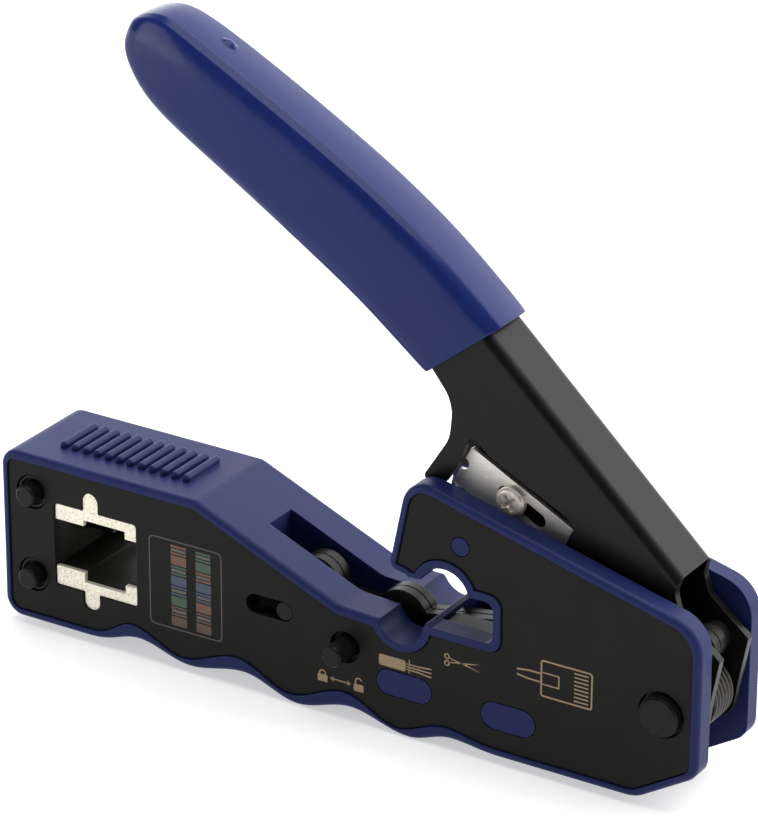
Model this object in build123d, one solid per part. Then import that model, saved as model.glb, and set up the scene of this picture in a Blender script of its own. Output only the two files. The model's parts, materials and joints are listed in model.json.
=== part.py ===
from build123d import *
import copy
import math
import os

# Hand crimping tool for 8-way modular plugs, in millimetres.
# The drawing frame has X along the body (plug head at -X, pivot at +X), Z up, and the
# lever's pivot axis along Y through the origin. The body's middle plane is y = 0 and
# its front side faces -Y. Every outline is drawn in the X-Z plane with the lever open.
# The parts are moved to the body's own frame when they are written.

# ---- Driving dimensions ----
BODY_LEFT = -127.5          # outer face of the plug head
BODY_RIGHT = 6.8            # rear face of the cheeks
LEVER_HEEL = 7.6            # the lever's rear corner, the furthest point to the right
BASE_Z = -17.4              # the two lowest finger crests, which the tool stands on
HEAD_TOP = 15.0
HEAD_BOTTOM = -16.1
NECK_TOP = 2.7              # shelf between the head's slope and the stripping hole
HOUSING_HALF = 10.5         # half thickness of the plastic body
RIM_RADIUS = 1.0            # round of the body's outer rims
PLATE_FACE = 10.2           # outer face of each steel side plate, from the middle plane
PLATE_THICK = 1.5
PLATE_BACK = PLATE_FACE - PLATE_THICK
BORDER = 1.35               # width of plastic left showing around each side plate
PLATE_GAP = 0.12            # between a plate's edge and its pocket
CHEEK_GAP_HALF = 6.6        # half of the rear gap that the lever swings in
LEVER_HALF = 5.5            # half width of the folded steel lever
SLOT_HALF = 3.3             # half width of the channel that the ram runs in
LINK_SLOT_HALF = 2.2        # half width of the channel's narrow end, for the link only

CLOSE_ANGLE = 27.3          # lever travel from open to closed, in degrees
CRANK_RADIUS = 9.0          # crank pin to pivot axis
CRANK_START = 90 - CLOSE_ANGLE / 2

# Interior limits of the plug port: X across the plug's 8.4 mm depth, Z along its 11.7 mm width
PLUG_LEFT, PLUG_RIGHT = -110.9, -102.5
PLUG_LOW, PLUG_HIGH = -6.3, 5.3
LATCH_LEFT = -116.8
LATCH_LOW, LATCH_HIGH = -4.5, 4.2
PUNCH_RIGHT = -100.0
PUNCH_LOW, PUNCH_HIGH = -4.7, 3.9
PORT_LOW, PORT_HIGH = -8.1, 7.2
PORT_MIDDLE = (PORT_LOW + PORT_HIGH) / 2
LOBE_X, LOBE_R = -109.4, 1.65
LOBE_TOP, LOBE_BOTTOM = 10.7, -11.2

STRIP_LOW = (-47.9, 3.9)    # lower round of the stripping hole
STRIP_LOW_R = 4.4
STRIP_HIGH = (-39.7, 10.4)  # upper round of the stripping hole
STRIP_HIGH_R = 4.7
WINDOW = (-42.4, -30.5, 4.0, 11.4)      # cutting window: left, right, bottom, top

CLEVIS = (-52.7, -0.7)      # pin that joins the link to the ram
GUIDE = (-70.4, -0.9)       # ram guide pin, at the right end of its slot
LOCK = (-58.6, -4.2)
LOCK_BOLT_R = 1.9
HEAD_RIVETS = [(-121.3, 8.1), (-121.3, -7.4)]


# ---- Drawing helpers ----
def outline(points, radii):
    """Closed face through the points, each corner rounded to its radius."""
    return make_face(FilletPolyline(*points, radius=radii, close=True))


def disc(centre, radius):
    return Pos(*centre) * Circle(radius)


def box_face(left, right, low, high, corner=0):
    width, height = right - left, high - low
    shape = RectangleRounded(width, height, corner) if corner else Rectangle(width, height)
    return Pos((left + right) / 2, (low + high) / 2) * shape


def slab(face, front, back):
    """Solid with an X-Z face between two Y values."""
    return Pos(0, back, 0) * extrude(Plane.XZ * face, amount=back - front)


def both_sides(face, inner, outer):
    """Two matching slabs, one each side of the middle plane."""
    return [slab(face, -outer, -inner), slab(face, inner, outer)]


def rim_edges(block):
    """Outline edges of a block's front and back faces."""
    faces = block.faces().filter_by(Axis.Y).sort_by(Axis.Y)
    return [edge for face in (faces[0], faces[-1]) for edge in face.edges()]


def rod(centre, radius, front, back):
    return slab(disc(centre, radius), front, back)


def swing(point, degrees):
    """A point turned about the pivot axis; positive closes the lever."""
    angle = math.radians(degrees)
    x, z = point
    return (x * math.cos(angle) - z * math.sin(angle), x * math.sin(angle) + z * math.cos(angle))


def opened(points):
    """Points that are given with the lever closed, moved to where they are when it is open."""
    return [swing(point, -CLOSE_ANGLE) for point in points]


def polar(radius, degrees):
    return (radius * math.cos(math.radians(degrees)), radius * math.sin(math.radians(degrees)))


CRANK = polar(CRANK_RADIUS, CRANK_START)


# ---- Body outlines ----
# Rear bottom, round the rear, the jaw, the mouth, the neck and the head, to the head's bottom
BODY_PATH = [(-29.5, HEAD_BOTTOM), (-4.2, HEAD_BOTTOM), (BODY_RIGHT, -9.4), (BODY_RIGHT, 16.2),
             (-46.9, 30.0), (-50.4, 12.6), (-47.0, 12.0), (-47.0, NECK_TOP), (-53.5, NECK_TOP),
             (-59.7, NECK_TOP + 0.3), (-87.7, HEAD_TOP - 0.2), (BODY_LEFT, HEAD_TOP),
             (BODY_LEFT, HEAD_BOTTOM), (-110.0, HEAD_BOTTOM)]
BODY_CORNERS = [6, 3.5, 6.4, 4.8, 1.5, 0.3, 0.3, 2, 5, 3, 3, 3.5]
FINGER_CRESTS = [(-89.5, -16.3), (-68.0, BASE_Z), (-46.5, BASE_Z)]
FINGER_HOLLOWS = [(-99.8, -14.0), (-78.7, -14.5), (-57.6, -15.1), (-38.2, -15.4)]
PLATE_CRESTS = [(-90.7, -14.85), (-69.3, -15.65), (-48.5, -16.1)]
PLATE_HOLLOWS = [(-101.0, -11.4), (-79.9, -11.8), (-58.7, -12.3), (-39.3, -13.4)]


def inset_path(points, corners, distance):
    """Points and corner radii of an open path moved to its left by a distance."""
    sides = []
    for (x1, z1), (x2, z2) in zip(points, points[1:]):
        length = math.hypot(x2 - x1, z2 - z1)
        along = ((x2 - x1) / length, (z2 - z1) / length)
        shift = (-along[1] * distance, along[0] * distance)
        sides.append(((x1 + shift[0], z1 + shift[1]), along, (x2 + shift[0], z2 + shift[1])))
    moved, radii = [sides[0][0]], []
    for before, after, corner in zip(sides, sides[1:], corners):
        (ax, az), (ux, uz), _ = before
        (bx, bz), (vx, vz), _ = after
        turn = ux * vz - uz * vx
        step = ((bx - ax) * vz - (bz - az) * vx) / turn
        moved.append((ax + ux * step, az + uz * step))
        radii.append(max(corner - math.copysign(distance, turn), 0.3))
    return moved + [sides[-1][2]], radii


def finger_outline(path, corners, crests, hollows):
    """Outline closed along its bottom by a smooth line through finger crests and hollows."""
    wave = [path[-1]]
    for index, hollow in enumerate(hollows):
        wave.append(hollow)
        wave.append(crests[index] if index < len(crests) else path[0])
    bottom = Spline(*wave, tangents=[(1, 0)] * len(wave))
    return make_face([FilletPolyline(*path, radius=corners), bottom])


def work_opening(grow=0.0):
    """Stripping hole, cutting window and the throat between them, as one opening."""
    left, right, low, high = WINDOW
    window = box_face(left - grow, right + grow, low - grow, high + grow, corner=1.6 + grow / 2)
    if grow:
        throat = box_face(-46.0, -38.0, low - grow, 12.9)
    else:
        lip = [(-43.6, 3.5), (-42.9, 4.7), (-42.0, low)]
        throat = outline([(-47.5, NECK_TOP), *lip, (-38, low), (-36, 6), (-36, 10), (-39.7, 12.4),
                          (-43.8, 12.2), (-47.5, 11.95)], [0, 0, 0.3, 0, 0, 0, 0, 0, 0, 0])
        window = window - outline([(-44, 2), *lip, (-42.0, 2)], 0)
    return throat + disc(STRIP_LOW, STRIP_LOW_R + grow) + disc(STRIP_HIGH, STRIP_HIGH_R + grow) + window


def body_blank():
    """The moulding's outside with both outer rims rounded, and its working opening cut through."""
    outside = finger_outline(BODY_PATH, BODY_CORNERS, FINGER_CRESTS, FINGER_HOLLOWS)
    blank = slab(outside, -HOUSING_HALF, HOUSING_HALF)
    blank = fillet(rim_edges(blank), RIM_RADIUS)
    return blank - slab(work_opening(), -HOUSING_HALF, HOUSING_HALF)


def plate_blank(gap):
    """Side plate outline: the body's outline inset by the border, with deeper finger hollows."""
    path, corners = inset_path(BODY_PATH, BODY_CORNERS, BORDER + gap)
    hollows = [(x, z + gap - PLATE_GAP) for x, z in PLATE_HOLLOWS]
    crests = [(x, z + gap - PLATE_GAP) for x, z in PLATE_CRESTS]
    return finger_outline(path, corners, crests, hollows) - work_opening(BORDER + gap)


def boss_faces(grow=0.0):
    """Plastic bosses that show through the side plates, flush with them."""
    return [disc((-36.9, 19.7), 1.6 + grow),
            Pos(-47.2, -8.2) * SlotOverall(10.4 + 2 * grow, 4.5 + 2 * grow),
            Pos(-27.6, -8.7) * SlotOverall(10.0 + 2 * grow, 4.8 + 2 * grow)]


def guide_slot(grow=0.0):
    """Slot for the ram guide pin, whose end stops the ram when the lever is open."""
    left, right = -77.9, -68.7
    height = 3.5
    return Pos((left + right) / 2, GUIDE[1]) * SlotOverall(right - left + 2 * grow, height + 2 * grow)


def port_face():
    """Port cut-out in the front plate: the die plates fill all but the plug's own shape."""
    lobe = box_face(LOBE_X - LOBE_R, LOBE_X + LOBE_R, LOBE_BOTTOM + LOBE_R, LOBE_TOP - LOBE_R)
    return (box_face(LATCH_LEFT, PUNCH_RIGHT, PORT_LOW, PORT_HIGH, corner=0.6) + lobe
            + disc((LOBE_X, LOBE_TOP - LOBE_R), LOBE_R) + disc((LOBE_X, LOBE_BOTTOM + LOBE_R), LOBE_R))


def plug_face(grow=0.0):
    """The plug's own section: its body, its latch on the left and its contacts on the right."""
    body = box_face(PLUG_LEFT - grow, PLUG_RIGHT + grow, PLUG_LOW - grow, PLUG_HIGH + grow)
    latch = box_face(LATCH_LEFT, PLUG_LEFT, LATCH_LOW - grow, LATCH_HIGH + grow)
    punch = box_face(PLUG_RIGHT, PUNCH_RIGHT, PUNCH_LOW - grow, PUNCH_HIGH + grow)
    return body + latch + punch


# ---- Fixed parts ----
RIVET_RECESS_R = 3.1
PIVOT_HOLE_R = 4.0
PIVOT_SHAFT_R = 2.5
FIT = 0.05                  # radial clearance of a running fit
NEST = (-118.4, -100.2, -9.6, 8.6)
NEST_FRONT, NEST_BACK = -8.65, 7.0
DIE_FRONT, DIE_BACK = -9.85, -9.0
BAY_FRONT = -6.5
RAM_BAY = (-100.2, -84.0, -5.6, 4.8)    # room for the ram's head block
FLOOR_Z = -9.5
SLOT_LEFT = -77.7           # left end of the open slot in the head's slope


def rib(x):
    """One round-ended grip rib on top of the head, lying across the body."""
    radius, half_length, rise = 0.72, 4.3, 0.35
    foot = Pos(x, 0, HEAD_TOP - 0.5) * extrude(SlotOverall(2 * (half_length + radius), 2 * radius, 90),
                                               amount=rise + 0.5)
    bar = Pos(x, 0, HEAD_TOP + rise) * Rot(90, 0, 0) * Cylinder(radius, 2 * half_length)
    ends = [Pos(x, side * half_length, HEAD_TOP + rise) * Sphere(radius) for side in (-1, 1)]
    return foot + bar + ends[0] + ends[1]


def make_housing():
    block = body_blank()
    pocket = plate_blank(0)
    for boss in boss_faces():
        pocket = pocket - boss
    for side in both_sides(pocket, PLATE_BACK, HOUSING_HALF + 1):
        block -= side
    for boss in boss_faces(0.05):
        for side in both_sides(boss, PLATE_FACE, HOUSING_HALF + 1):
            block -= side
    # rear gap that the lever swings in, open at the top, the rear and the rear bottom
    gap = outline([(-42.2, FLOOR_Z), (-42.2, 4.6), (-62, 4.6), (-62, 50), (20, 50), (20, -30),
                   (-5, -30), (-5, FLOOR_Z)], 0)
    block -= slab(gap, -CHEEK_GAP_HALF, CHEEK_GAP_HALF)
    # channel for the ram and the link, open along the slope and the neck
    block -= slab(box_face(SLOT_LEFT, -47.8, -7.0, 40), -SLOT_HALF, SLOT_HALF)
    block -= slab(box_face(-90, -47.8, -7.0, 4.4), -SLOT_HALF, SLOT_HALF)
    block -= slab(box_face(-48.5, -42.0, -4.5, 3.3), -LINK_SLOT_HALF, LINK_SLOT_HALF)
    block -= slab(box_face(*RAM_BAY), BAY_FRONT, PLATE_BACK)
    block -= slab(box_face(*NEST) + port_face(), NEST_FRONT, NEST_BACK)
    block -= slab(port_face(), -HOUSING_HALF, NEST_FRONT)
    block -= slab(box_face(LATCH_LEFT + 4, -84, PLUG_LOW - 0.6, PLUG_HIGH + 0.6), NEST_BACK, PLATE_BACK)
    block -= slab(guide_slot(0.9), -PLATE_FACE, PLATE_FACE)
    for centre in HEAD_RIVETS:
        block -= rod(centre, 1.95, -PLATE_FACE, PLATE_FACE)
    block -= rod((0, 0), PIVOT_SHAFT_R + FIT, -PLATE_FACE, PLATE_FACE)
    block -= rod(LOCK, 3.6, -PLATE_FACE, -7.8)
    block -= rod(LOCK, LOCK_BOLT_R + 0.1, -7.9, -SLOT_HALF + 0.1)
    for pin in ANVIL_PINS:
        block -= rod(pin, 0.8, -PLATE_BACK, -CHEEK_GAP_HALF)
    rib_count, first_rib, pitch = 12, -118.4, 2.27
    for index in range(rib_count):
        block += rib(first_rib + index * pitch)
    return block


def make_side_plate(front):
    plate = plate_blank(PLATE_GAP)
    for boss in boss_faces(PLATE_GAP):
        plate = plate - boss
    plate = plate - guide_slot() - disc((0, 0), PIVOT_HOLE_R)
    for centre in HEAD_RIVETS:
        plate = plate - disc(centre, RIVET_RECESS_R)
    if front:
        plate = plate - port_face() - disc(LOCK, 2.8)
        return slab(plate, -PLATE_FACE, -PLATE_BACK)
    plate = plate - box_face(LATCH_LEFT, PUNCH_RIGHT, PORT_LOW + 1, PORT_HIGH - 1, corner=1)
    return slab(plate, PLATE_BACK, PLATE_FACE)


def make_head_rivets():
    """Riveted posts: a shaft through the head, a seated collar and a stub head at each end."""
    solids = []
    for centre in HEAD_RIVETS:
        post = rod(centre, 1.9, -12.4, 11.3)
        collar = disc(centre, RIVET_RECESS_R - 0.15)
        for flange in both_sides(collar, PLATE_BACK, 9.0) + both_sides(collar - disc(centre, 2.4), 9.0, 9.9):
            post += flange
        caps = post.faces().sort_by(Axis.Y)
        post = chamfer(list(caps[0].edges()) + list(caps[-1].edges()), 0.3)
        solids.append(post)
    return solids


def make_pivot_pin():
    head_r, head_out = 3.5, 11.5
    pin = rod((0, 0), PIVOT_SHAFT_R, -head_out, head_out)
    for part in both_sides(disc((0, 0), head_r), PLATE_BACK, head_out):
        pin += part
    for part in both_sides(disc((0, 0), PIVOT_HOLE_R - 0.1), PLATE_BACK, 9.2):
        pin += part
    caps = pin.faces().sort_by(Axis.Y)
    return chamfer(list(caps[0].edges()) + list(caps[-1].edges()), 0.4)


def make_pivot_bush():
    return rod((0, 0), 3.3, -3.45, 3.45) - rod((0, 0), PIVOT_SHAFT_R + FIT, -4, 4)


def make_pivot_washers():
    ring = disc((0, 0), 4.6) - disc((0, 0), PIVOT_SHAFT_R + FIT)
    return both_sides(ring, LEVER_HALF + 0.15, CHEEK_GAP_HALF)


def make_die_plate(upper):
    """Half of the steel plug gauge that fills the port cut-out around the plug's section."""
    sheet = offset(port_face(), amount=-0.08) - plug_face()
    if upper:
        sheet = sheet & box_face(-125, -95, 0, 20)
    else:
        sheet = sheet & box_face(-125, -95, -20, 0)
    return slab(sheet, DIE_FRONT, DIE_BACK)


def make_plug_nest():
    """Block behind the gauge with the plug's section through it, open towards the ram."""
    hollow = plug_face(0.05) + box_face(PUNCH_RIGHT - 0.5, -99, PUNCH_LOW, PUNCH_HIGH)
    seat = offset(port_face(), amount=-0.08) - hollow
    return slab(box_face(*NEST) - hollow, NEST_FRONT, NEST_BACK) + slab(seat, DIE_BACK, NEST_FRONT)


def make_latch_anvil():
    """Bar in the latch channel that the plug's latch is pressed against."""
    return slab(box_face(LATCH_LEFT, -112.6, -2.0, 1.8), 1.0, 5.0)


ANVIL = (-41.8, -30.2, -1.4, 3.5)
ANVIL_PINS = [(-39.2, 0.6), (-33.0, 0.6)]


def make_cutting_anvil():
    bar = slab(box_face(*ANVIL), -CHEEK_GAP_HALF, -2.3)
    for pin in ANVIL_PINS:
        bar -= rod(pin, 0.8, -CHEEK_GAP_HALF, -3.2)
    return bar


def make_anvil_pins():
    return [rod(pin, 0.78, -PLATE_BACK + 0.05, -3.25) for pin in ANVIL_PINS]


SPRING_WIRE_R = 0.48
SPRING_MEAN_R = 5.55


def make_torsion_spring():
    """Close coils around the pivot, one leg over the body's floor and one hooked to the lever."""
    turns, pitch = 5.5, 1.03
    floor_leg, lever_leg = 9, 9
    height = turns * pitch
    helix = Helix(pitch, height, SPRING_MEAN_R)
    first, last = helix @ 0, helix @ 1
    start = first - (helix % 0) * floor_leg
    end = last + (helix % 1) * lever_leg
    wire = Wire([Edge.make_line(start, first), *helix.edges(), Edge.make_line(last, end)])
    section = Plane(origin=start, z_dir=helix % 0) * Circle(SPRING_WIRE_R)
    # wound along +Z, then laid along the pivot axis, starting at the bottom and ending at the top
    return Rot(90, 0, 0) * Rot(0, 0, -90) * Pos(0, 0, -height / 2) * sweep(section, path=wire)


# ---- Lever ----
SHEET = 1.4                 # thickness of the folded steel lever
FOLD_RADIUS = 1.7           # outside radius of its two folds
LEVER_INNER = LEVER_HALF - SHEET
BLADE = (-50.2, -29.1, 3.6, 12.4)       # blade outline with the lever closed
BLADE_FRONT, BLADE_BACK = -3.5, -2.7
SCREW = (-40.0, 9.4)        # blade screw with the lever closed
CARRIER_RIVETS = [(-46.4, 12.0), (-33.6, 12.6)]

HANDLE_BACK = [(-35.7, 55.3), (-48.3, 66.3), (-67.3, 78.4), (-86.0, 88.9)]
WEB_END = (0.1, 21.5)
LEVER_TIP = (-92.0, 90.3)
HANDLE_FRONT = [(-95.2, 80.5), (-79.0, 70.6), (-60.5, 59.4), (-47.8, 50.2)]


def lever_wall():
    """Side wall: handle, concave throat, hooked nose, belly and pivot heel."""
    belly = opened([(-50.9, 4.9), (-27, 5.8), (-11, -4.6)])
    points = [WEB_END, *HANDLE_BACK, LEVER_TIP, *HANDLE_FRONT, (-41.3, 42.0),
              (-41.9, 35.6), (-46.7, 28.0), (-44.9, 26.3), *belly, (-1.5, -6.6), (5.2, -5.2),
              (6.3, 2.2), (LEVER_HEEL, 9.3), (0.4, 15.3), (-0.7, 18.9)]
    radii = [0, 30, 40, 40, 20, 0, 4, 40, 30, 4, 7, 6, 1.0, 0.8, 1.0, 6, 3, 4, 3.5, 3, 0.5, 1.5, 2.5]
    return outline(points, radii)


def blade_notch():
    """Opening in the front wall that the blade shows through and is changed from."""
    return outline([(-43.2, 27.0), (-40.3, 31.2), (-38.8, 35.6), (-37.6, 36.9), (-34.2, 34.0), (-20.3, 27.2),
                    (-18.7, 25.3), (-21.5, 20.5), (-40, 15), (-46, 22)], [0, 4, 1, 0.9, 6, 1.2, 0.8, 0, 0, 0])


def web_cut():
    """Region of the lever's side view that the web fills: a strip along the back edge."""
    points = [WEB_END, *HANDLE_BACK, LEVER_TIP]
    inner = [(x - 0.68 * SHEET, z - 0.74 * SHEET) for x, z in points[:-1]]
    strip = points + [(-92.6, 88.9)] + inner[::-1]
    return make_face(Polyline(*strip, close=True)) & lever_wall()


def on_fold(edge):
    """Whether an outline edge lies along the back of the lever, where the sheet is folded."""
    middle = edge @ 0.5
    return middle.Z > 22.0 - 0.72 * middle.X


def make_lever():
    """Channel folded from one sheet: two walls joined by a web along the back."""
    wall = lever_wall()
    block = slab(wall, -LEVER_HALF, LEVER_HALF)
    block = fillet([edge for edge in rim_edges(block) if on_fold(edge)], FOLD_RADIUS)
    block -= slab(wall - web_cut(), -LEVER_INNER, LEVER_INNER)
    holes = disc((0, 0), PIVOT_SHAFT_R + FIT) + disc(CRANK, 1.82)
    for rivet in opened(CARRIER_RIVETS):
        holes = holes + disc(rivet, 0.92)
    block -= slab(holes, -LEVER_HALF, LEVER_HALF)
    return block - slab(blade_notch(), -LEVER_HALF, -LEVER_INNER)


GRIP_BACK = [(-33.8, 55.9), (-48.0, 68.4), (-67.2, 80.6), (-86.4, 90.8)]
GRIP_FRONT = [(-98.6, 79.4), (-79.5, 67.8), (-60.9, 56.0), (-47.2, 45.4)]
GRIP_HALF = 6.6


def make_grip():
    """Dipped sleeve over the handle, closed at its tip and hollow inside."""
    outer = outline(GRIP_BACK + [(-98.0, 97.6), (-106.2, 92.4), (-103.4, 83.6)] + GRIP_FRONT,
                    [0.8, 30, 40, 30, 8, 4.5, 7, 12, 40, 30, 0.8])
    inner = lever_wall()
    sleeve = slab(outer, -GRIP_HALF, GRIP_HALF)
    sleeve = fillet(rim_edges(sleeve), 2.2)
    return sleeve - slab(inner, -LEVER_HALF, LEVER_HALF)


def make_blade():
    left, right, low, high = BLADE
    lip_left, lip_right, lip_clear = -44.3, -41.6, 5.1
    face = outline([(left, low + 1.4), (left, high), (right, high), (right, low), (lip_right, low),
                    (lip_right, lip_clear), (lip_left, lip_clear), (lip_left, low), (left + 1.0, low)],
                   [0, 0.3, 0.3, 0.3, 0, 0.3, 0.3, 0, 0])
    face = face - disc((left, 8.9), 1.1)
    face = face - Pos(-38.2, SCREW[1]) * SlotOverall(9.6, 2.7)
    face = face - disc((STRIP_LOW[0], low), 1.4)
    blank = slab(face, BLADE_FRONT, BLADE_BACK)
    bevel = Plane.YZ * make_face(Polyline((BLADE_FRONT - 0.1, low - 0.1), (BLADE_FRONT - 0.1, low + 1.6),
                                          (BLADE_BACK - 0.08, low - 0.1), close=True))
    blank -= Pos(left - 1, 0, 0) * extrude(bevel, amount=right - left + 2)
    return Rot(0, CLOSE_ANGLE, 0) * blank


def make_blade_carrier():
    face = outline([(-49.6, 8.0), (-49.6, 13.4), (-44, 14.6), (-32, 14.6), (-29.8, 13.4),
                    (-29.8, 8.0)], 0.8)
    face = face - disc(SCREW, 1.25)
    for rivet in CARRIER_RIVETS:
        face = face - disc(rivet, 0.92)
    return Rot(0, CLOSE_ANGLE, 0) * slab(face, BLADE_BACK + 0.02, LEVER_INNER)


def make_carrier_rivets():
    return [rod(centre, 0.9, BLADE_BACK + 0.3, LEVER_HALF) for centre in opened(CARRIER_RIVETS)]


def make_blade_screw():
    head_r, head_high = 2.6, 1.5
    seat = BLADE_FRONT
    screw = rod(SCREW, head_r, seat - head_high, seat) + rod(SCREW, 1.2, seat, 2.0)
    rim = screw.faces().sort_by(Axis.Y)[0].edges()
    screw = fillet(rim, 0.8)
    for angle in (0, 90):
        arm = slab(Pos(*SCREW) * Rot(0, 0, angle + 20) * Rectangle(2.5, 0.6),
                   seat - head_high - 0.1, seat - 0.5)
        screw -= arm
    return Rot(0, CLOSE_ANGLE, 0) * screw


def make_crank_pin():
    head_out = 6.3
    pin = rod(CRANK, 1.8, -head_out, head_out)
    for head in both_sides(disc(CRANK, 2.4), LEVER_HALF, head_out):
        pin += head
    return pin


def make_crank_bushes():
    ring = disc(CRANK, 2.4) - disc(CRANK, 1.82)
    return both_sides(ring, 2.1, LEVER_INNER - 0.05)


# ---- Link ----
LINK_HALF = 1.9
LINK_BAR_HALF = 1.3


def link_face():
    dx, dz = CRANK[0] - CLEVIS[0], CRANK[1] - CLEVIS[1]
    length = math.hypot(dx, dz)
    middle = ((CRANK[0] + CLEVIS[0]) / 2, (CRANK[1] + CLEVIS[1]) / 2)
    bar = Pos(*middle) * Rot(0, 0, math.degrees(math.atan2(dz, dx))) * Rectangle(length, 2 * LINK_BAR_HALF)
    open_pivot_r = 1.7      # 0.4 mm free of the clevis pin all round
    return (bar + disc(CLEVIS, 5.0) + disc(CRANK, 2.8)) - disc(CLEVIS, open_pivot_r) \
        - disc(CRANK, 1.8 + FIT)


def make_link_plate(front):
    if front:
        return slab(link_face(), -LINK_HALF, -0.06)
    return slab(link_face(), 0.06, LINK_HALF)


# ---- Ram ----
RAM_INNER, RAM_OUTER = 2.05, 3.0
RAM_HEAD = (-96.6, -88.0, -4.4, 3.6)
RAM_RIVETS = [(-85.5, -1.0), (-80.0, -1.0)]
PUNCH_TIP = -99.4


def ram_plate_face(toothed):
    plate = box_face(-88.0, -76.0, -2.6, 1.9) + box_face(-77.0, -53.0, -2.1, 0.0)
    plate = plate + disc(CLEVIS, 2.1) + disc(GUIDE, 3.4)
    if toothed:
        plate = plate + box_face(-56.6, -55.7, -5.2, -2.0)
    plate = plate - disc(CLEVIS, 1.32) - disc(GUIDE, 1.62)
    for rivet in RAM_RIVETS:
        plate = plate - disc(rivet, 0.92)
    return plate


def make_ram_plate(front):
    """Ram side plate; the front one has the tooth that the lock bolt stops."""
    face = ram_plate_face(front)
    if front:
        return slab(face, -RAM_OUTER, -RAM_INNER)
    return slab(face, RAM_INNER, RAM_OUTER)


def make_ram_head():
    """Punch holder, with a tongue between the two side plates."""
    block = slab(box_face(*RAM_HEAD), -6.2, 7.1)
    tongue = box_face(-88.0, -77.5, -2.6, 1.9)
    for rivet in RAM_RIVETS:
        tongue = tongue - disc(rivet, 0.92)
    head = block + slab(tongue, -RAM_INNER, RAM_INNER)
    for x, z in TRIM_SCREWS:
        head -= rod((x, z), 0.82, 4.0, 7.2)
    return head


TRIM_SCREWS = [(-92.4, -2.8), (-92.4, 2.0)]
CONTACTS = 8
CONTACT_PITCH = 1.02


def make_contact_punch():
    """Eight narrow teeth that press the plug's contacts home."""
    punch = slab(box_face(RAM_HEAD[0] - 1.2, RAM_HEAD[0], -4.3, 3.5), 2.6, 5.8)
    first = PORT_MIDDLE - CONTACT_PITCH * (CONTACTS - 1) / 2
    for index in range(CONTACTS):
        z = first + index * CONTACT_PITCH
        punch += slab(box_face(PUNCH_TIP, RAM_HEAD[0] - 1.0, z - 0.22, z + 0.22), 3.0, 5.4)
    return punch


def make_strain_punch():
    """Blunt bar that folds the plug's strain-relief tab onto the cable."""
    nose = outline([(PUNCH_TIP, -2.4), (PUNCH_TIP, 1.6), (RAM_HEAD[0], 3.2), (RAM_HEAD[0], -4.0)], 0)
    return slab(nose, -5.2, -2.6)


def make_trim_blade():
    """Blade that cuts off the wires which come out of the plug's nose at the back."""
    face = outline([(-101.6, -5.6), (-101.6, 4.6), (-97.5, 5.0), (-89.4, 4.0), (-89.4, -5.0),
                    (-97.5, -6.0)], 0)
    for centre in TRIM_SCREWS:
        face = face - disc(centre, 1.02)
    return slab(face, 7.15, 7.95)


def make_trim_screws():
    return [rod(centre, 1.6, 7.95, 8.5) + rod(centre, 0.8, 4.2, 8.0) for centre in TRIM_SCREWS]


def make_ram_rivets():
    return [rod(centre, 0.9, -RAM_OUTER, RAM_OUTER) for centre in RAM_RIVETS]


def make_clevis_pin():
    return rod(CLEVIS, 1.3, -RAM_OUTER, RAM_OUTER)


def make_guide_pin():
    return rod(GUIDE, 1.6, -PLATE_FACE + 0.1, PLATE_FACE - 0.1)


def make_guide_plates():
    """Two plates side by side on the guide pin; their round tops show in the body's slot."""
    round_top = disc((-69.2, 1.7), 4.3)
    return both_sides(round_top + disc(GUIDE, 4.2) - disc(GUIDE, 1.62), 0.06, 1.95)


# ---- Lock ----
def make_lock_bolt():
    """Push bolt, standing out unlocked; pushed in, its tip stands behind the ram's tooth."""
    bolt = rod(LOCK, LOCK_BOLT_R, -14.5, -7.1) + rod(LOCK, 1.35, -7.1, -6.1)
    return chamfer(bolt.faces().sort_by(Axis.Y)[0].edges(), 0.3)


# ---- Assembly ----
def build_parts():
    return {
        "main_housing": make_housing(),
        "front_side_plate": make_side_plate(True),
        "back_side_plate": make_side_plate(False),
        "head_rivets": make_head_rivets(),
        "pivot_pin": make_pivot_pin(),
        "pivot_bush": make_pivot_bush(),
        "pivot_washers": make_pivot_washers(),
        "upper_die_plate": make_die_plate(True),
        "lower_die_plate": make_die_plate(False),
        "plug_nest": make_plug_nest(),
        "latch_anvil": make_latch_anvil(),
        "cutting_anvil": make_cutting_anvil(),
        "anvil_pins": make_anvil_pins(),
        "torsion_spring": make_torsion_spring(),
        "lever_channel": make_lever(),
        "lever_grip": make_grip(),
        "cutting_blade": make_blade(),
        "blade_carrier": make_blade_carrier(),
        "carrier_rivets": make_carrier_rivets(),
        "blade_screw": make_blade_screw(),
        "crank_pin": make_crank_pin(),
        "crank_bushes": make_crank_bushes(),
        "link_plate_front": make_link_plate(True),
        "link_plate_back": make_link_plate(False),
        "ram_plate_front": make_ram_plate(True),
        "ram_plate_back": make_ram_plate(False),
        "ram_head": make_ram_head(),
        "ram_rivets": make_ram_rivets(),
        "contact_punch": make_contact_punch(),
        "strain_relief_punch": make_strain_punch(),
        "wire_trim_blade": make_trim_blade(),
        "trim_blade_screws": make_trim_screws(),
        "clevis_pin": make_clevis_pin(),
        "guide_pin": make_guide_pin(),
        "guide_plates": make_guide_plates(),
        "lock_bolt": make_lock_bolt(),
    }


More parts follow.
